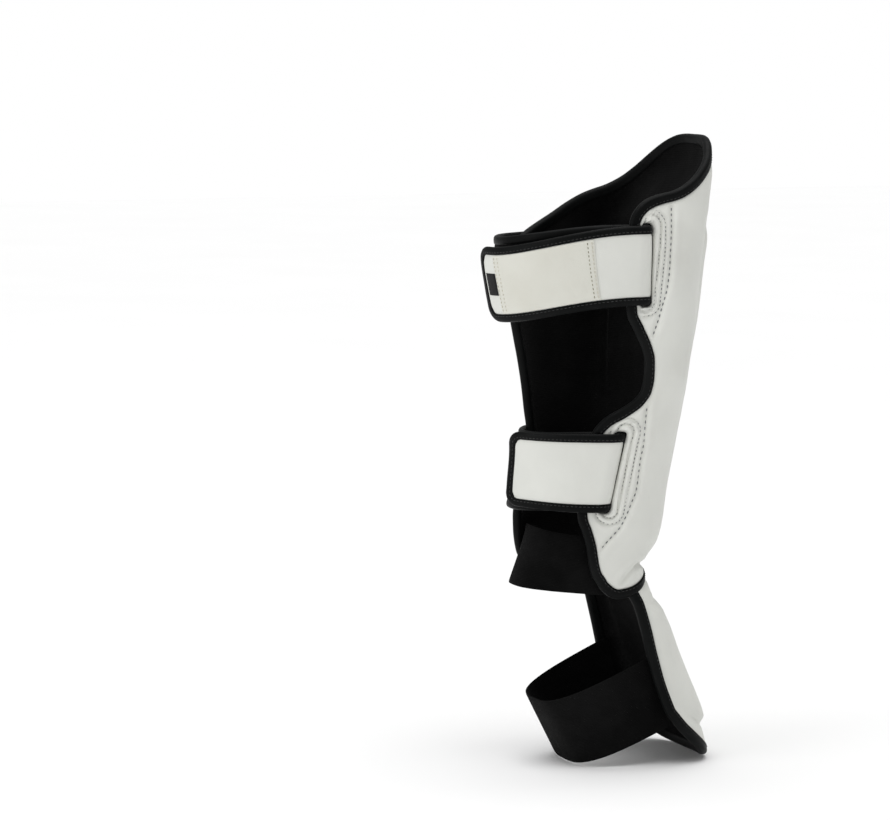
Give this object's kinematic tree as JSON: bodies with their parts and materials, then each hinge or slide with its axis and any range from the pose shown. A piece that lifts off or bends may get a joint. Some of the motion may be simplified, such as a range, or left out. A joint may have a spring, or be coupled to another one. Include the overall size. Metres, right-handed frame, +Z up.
{
  "type": "shin guard",
  "caption": "Strap-on shin and instep guard: white padded leather shield with bound black edges, slotted wing, hook-and-loop calf straps and elastic ankle and foot bands.",
  "frame": {"origin": "on the leg's axis at the height of the ankle seam, where the shin shield meets the instep pad", "axes": "+Z up the leg from ankle to knee, -Y the way the shin and the guard's front face, -X the side of the slotted wing"},
  "size_m": [0.1569, 0.1834, 0.4999],
  "materials": {
    "shell_leather": "smooth white synthetic leather with a low sheen",
    "patch_leather": "slightly creamier white synthetic leather",
    "edge_tape": "black folded binding tape with a faint sheen",
    "lining": "matte black woven lining",
    "label": "small bare black woven label",
    "elastic": "matte black ribbed elastic"
  },
  "bodies": {
    "root": {"shin_pad": "shell_leather", "shin_lining": "lining", "shin_binding": "edge_tape", "instep_pad": "shell_leather", "instep_lining": "lining", "instep_binding": "edge_tape", "strap_upper": "shell_leather", "strap_upper_binding": "edge_tape", "strap_lower": "shell_leather", "strap_lower_binding": "edge_tape", "strap_patch": "patch_leather", "size_label": "label", "ankle_elastic": "elastic", "foot_elastic": "elastic"}
  },
  "joints": []
}
